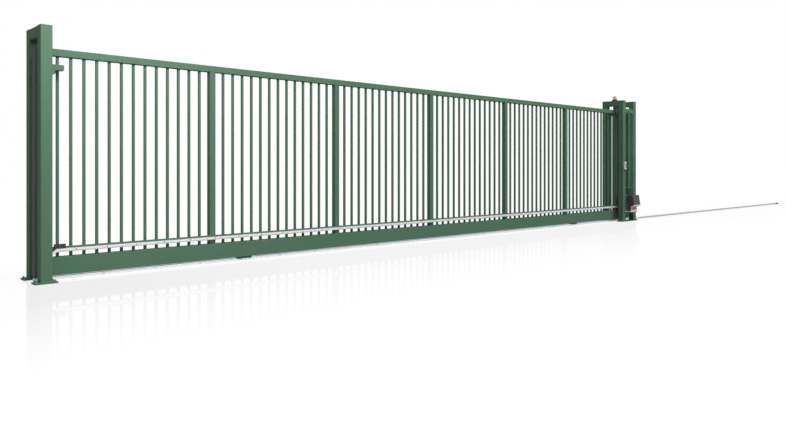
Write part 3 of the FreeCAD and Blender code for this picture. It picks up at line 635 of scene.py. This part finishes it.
def soft_block(shape, low, high, rounding):
    """A block with rounded edges, added to a bmesh."""
    low, high = Vector(low), Vector(high)
    made = bmesh.ops.create_cube(shape, size=1.0)["verts"]
    size, centre = high - low, (high + low) / 2
    for vertex in made:
        vertex.co = Vector(a * b for a, b in zip(vertex.co, size)) + centre
    edges = {edge for vertex in made for edge in vertex.link_edges}
    bmesh.ops.bevel(shape, geom=list(edges), offset=rounding, segments=2, affect="EDGES",
                    profile=0.5)


def turned(profile, centre, steps):
    """A bmesh of a profile of radius and height, turned about an upright axis."""
    shape = bmesh.new()
    angles = [2 * math.pi * i / steps for i in range(steps)]
    rows = [[shape.verts.new((centre[0] + r * math.cos(a), centre[1] + r * math.sin(a), z))
             for a in angles] for r, z in profile]
    for lower, upper in zip(rows, rows[1:]):
        for i in range(steps):
            j = (i + 1) % steps
            shape.faces.new((lower[i], lower[j], upper[j], upper[i]))
    shape.faces.new(rows[0][::-1])
    shape.faces.new(rows[-1])
    return shape


def button_box_trim():
    """The box's lid, its screws, the bezels of both buttons and the cable gland below."""
    low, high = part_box("push_button_box")
    button_low, button_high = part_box("stop_button")
    inset, lid, sunk, rounding = 0.004, 0.004, 0.001, 0.0015
    screw_edge, second_button = 0.011, 0.055
    # Radius, and depth below the box
    gland_rows = ((0.0075, 0.030), (0.0095, 0.024), (0.0105, 0.012), (0.0130, 0.011),
                  (0.0130, 0.0))
    gland_steps = 16
    face = low.y - lid
    shape = bmesh.new()
    soft_block(shape, (low.x + inset, face, low.z + inset),
               (high.x - inset, low.y + sunk, high.z - inset), rounding)
    shaped("button_box_lid", shape, PALE_SKIN, ROOT)
    spots = [(x, face, z) for x in (low.x + screw_edge, high.x - screw_edge)
             for z in (low.z + screw_edge, high.z - screw_edge)]
    grown("button_box_screws", spots, CAP_SCREW, LID_SCREW, TURN_FRONT, ROOT)
    x, _, z = middle(button_low, button_high)
    grown("button_bezels", [(x, face, z), (x, face, z + second_button)], DARK_SCREW, BEZEL,
          TURN_FRONT, ROOT)
    gland = turned([(radius, low.z - depth) for radius, depth in gland_rows],
                   middle(low, high), gland_steps)
    shaped("box_cable_gland", gland, DARK_STEEL, ROOT)


def ribbed_lens():
    """The beacon's dome with ring ribs, in place of its plain solid."""
    low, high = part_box("beacon_lens")
    foot, draft, wall = 0.044, 0.004, 0.054
    rings, proud, lens_steps = 9, 0.0010, 40
    dome_rows, dome_step = 9, math.radians(10)
    # Share of a ring's height, and how far it stands out there
    ring_shape = ((0.15, 0.0), (0.5, proud), (0.85, 0.0))
    profile = [(foot, low.z)]
    for i in range(rings):
        for share, out in ring_shape:
            up = (i + share) / rings
            profile.append((foot - draft * up + out - proud, low.z + wall * up))
    shoulder = foot - draft - proud
    cap = high.z - low.z - wall
    for i in range(dome_rows):
        turn = dome_step * i
        profile.append((shoulder * math.cos(turn), low.z + wall + cap * math.sin(turn)))
    shape = turned(profile, middle(low, high), lens_steps)
    piece = shaped("ribbed_lens", shape, AMBER, ROOT)
    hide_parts("beacon_lens")


def leaf_end_plates():
    """Welded plates that close the tail ends of the beam and the top rail."""
    thick, sunk, inset, rounding = 0.004, 0.001, 0.003, 0.0012
    shape = bmesh.new()
    for name in ("bottom_beam", "top_rail"):
        low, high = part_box(name)
        soft_block(shape, (high.x - sunk, low.y + inset, low.z + inset),
                   (high.x + thick, high.y - inset, high.z - inset), rounding)
    shaped("leaf_end_plates", shape, GREEN, LEAF)


# Studio: sky, lamps and floor
SKY_COLOUR, SKY_STRENGTH = (0.97, 0.98, 1.0, 1), 0.28
SUN_STRENGTH, SUN_SPREAD, SUN_AHEAD = 1.15, math.radians(50), (-0.30, 0.80, -0.55)
CATCH_TINT = (1.0, 0.72, 0.86)
FLOOR_GREY, FLOOR_GLOW, FLOOR_GLOW_SHARE = (0.28, 0.28, 0.28, 1), 1.15, 0.86
FLOOR_HALF, FLOOR_MIDDLE, FLOOR_DROP = 60.0, 10.0, 0.0006
MIRROR_ROUGHNESS = 0.06
# Axis, start and end in metres, and the mirror image's share at each
MIRROR_RISE = ("Y", -3.7, -1.0, 0.0, 0.19)
MIRROR_FADES = (("Y", 0.5, 2.0, 1.0, 0.0), ("X", 0.3, 3.0, 1.0, 0.74))


def white_rays(tree):
    """1 for rays from the camera, or by mirror or glass, that show the background."""
    path = tree.nodes.new("ShaderNodeLightPath")
    total = path.outputs["Is Camera Ray"]
    for name in ("Is Glossy Ray", "Is Transmission Ray"):
        total = combine(tree, "MAXIMUM", total, path.outputs[name])
    return total


def mixed_shaders(tree, factor, first, second):
    """A mix of two shaders."""
    node = tree.nodes.new("ShaderNodeMixShader")
    for target, given in zip(node.inputs, (factor, first, second)):
        tree.links.new(given, target)
    return node.outputs[0]


def sky():
    """White where it is seen, and a plain soft light on the gate."""
    world = bpy.data.worlds.new("studio_sky")
    bpy.context.scene.world = world
    world.use_nodes = True
    tree = world.node_tree
    tree.nodes.clear()
    seen, light, out = (tree.nodes.new("ShaderNodeBackground"),
                        tree.nodes.new("ShaderNodeBackground"),
                        tree.nodes.new("ShaderNodeOutputWorld"))
    seen.inputs["Strength"].default_value = 1.0
    seen.inputs["Color"].default_value = (1, 1, 1, 1)
    light.inputs["Color"].default_value = SKY_COLOUR
    light.inputs["Strength"].default_value = SKY_STRENGTH
    both = mixed_shaders(tree, white_rays(tree), light.outputs[0], seen.outputs[0])
    tree.links.new(both, out.inputs["Surface"])


def softbox(name, place, aim, size, power, colour=(1.0, 1.0, 1.0), across=(1, 0, 0)):
    """A lamp with a broad face that looks at a point."""
    data = bpy.data.lights.new(name, "AREA")
    data.shape = "RECTANGLE"
    data.size, data.size_y = size
    data.energy, data.color = power, colour
    lamp = bpy.data.objects.new(name, data)
    ahead = (Vector(aim) - Vector(place)).normalized()
    across = Vector(across)
    up = across.cross(ahead).normalized()
    turn = Matrix((across, -up, -ahead)).transposed().to_4x4()
    lamp.matrix_world = Matrix.Translation(place) @ turn
    lamp.visible_glossy = lamp.visible_camera = False
    bpy.context.scene.collection.objects.link(lamp)


def lamps():
    """A broad sun, and softboxes over the front, at the catch portal and in the tower."""
    sun = bpy.data.lights.new("broad_lamp", "SUN")
    sun.energy, sun.angle = SUN_STRENGTH, SUN_SPREAD
    lamp = bpy.data.objects.new("broad_lamp", sun)
    lamp.rotation_euler = Vector(SUN_AHEAD).to_track_quat("-Z", "Y").to_euler()
    bpy.context.scene.collection.objects.link(lamp)
    softbox("long_softbox", place=(6.0, -3.0, 5.0), aim=(6.0, 0.1, 1.6), size=(19.0, 1.6),
            power=348)
    softbox("catch_softbox", place=(0.5, -2.3, 4.3), aim=(0.0, 0.0, 2.6), size=(1.2, 1.2),
            power=100, colour=CATCH_TINT)
    low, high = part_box("guide_near_front_post")
    _, y, z = middle(low, high)
    off_post = 0.01
    start = Vector((high.x + off_post, y, z))
    softbox("tower_softbox", place=start, aim=start + Vector((1, 0, 0)), size=(0.10, 2.3),
            power=1.4, across=(0, 1, 0))


def floor_finish():
    """White floor with the gate's soft shadow and a mirror image that fades front and rear."""
    material = bpy.data.materials.new("studio_floor")
    material.use_nodes = True
    tree = material.node_tree
    tree.nodes.clear()
    matt, glow, sheen, out = [tree.nodes.new("ShaderNode" + kind) for kind in (
        "BsdfDiffuse", "Emission", "BsdfGlossy", "OutputMaterial")]
    matt.inputs["Color"].default_value = FLOOR_GREY
    glow.inputs["Strength"].default_value = FLOOR_GLOW
    sheen.inputs["Roughness"].default_value = MIRROR_ROUGHNESS
    share = combine(tree, "MULTIPLY", white_rays(tree), FLOOR_GLOW_SHARE)
    pale = mixed_shaders(tree, share, matt.outputs[0], glow.outputs[0])
    axes = object_axes(tree)
    axis, *reach = MIRROR_RISE
    mirror = ramp(tree, axes[axis], *reach)
    for axis, *reach in MIRROR_FADES:
        mirror = combine(tree, "MULTIPLY", mirror, ramp(tree, axes[axis], *reach))
    tree.links.new(mixed_shaders(tree, mirror, pale, sheen.outputs[0]), out.inputs["Surface"])
    return material


def studio_floor():
    """The floor just under the gate, a part of the stage."""
    mesh = bpy.data.meshes.new("floor")
    corners = [(sx * FLOOR_HALF + FLOOR_MIDDLE, sy * FLOOR_HALF, -FLOOR_DROP)
               for sx, sy in ((-1, -1), (1, -1), (1, 1), (-1, 1))]
    mesh.from_pydata(corners, [], [(0, 1, 2, 3)])
    mesh.materials.append(floor_finish())
    floor = bpy.data.objects.new("floor", mesh)
    bpy.context.scene.collection.objects.link(floor)


bpy.context.scene.view_settings.view_transform = "Standard"
set_camera()
sky()
lamps()
studio_floor()
dress_nodes()
anchor_bolts()
rail_fixings()
rack_screws()
limit_plate_screws()
post_welds()
bar_welds()
rubber_ribs()
bracket_bolts()
screen_screws()
console_bolts()
hood_trim()
foot_screws()
flap_lock()
button_box_trim()
ribbed_lens()
leaf_end_plates()
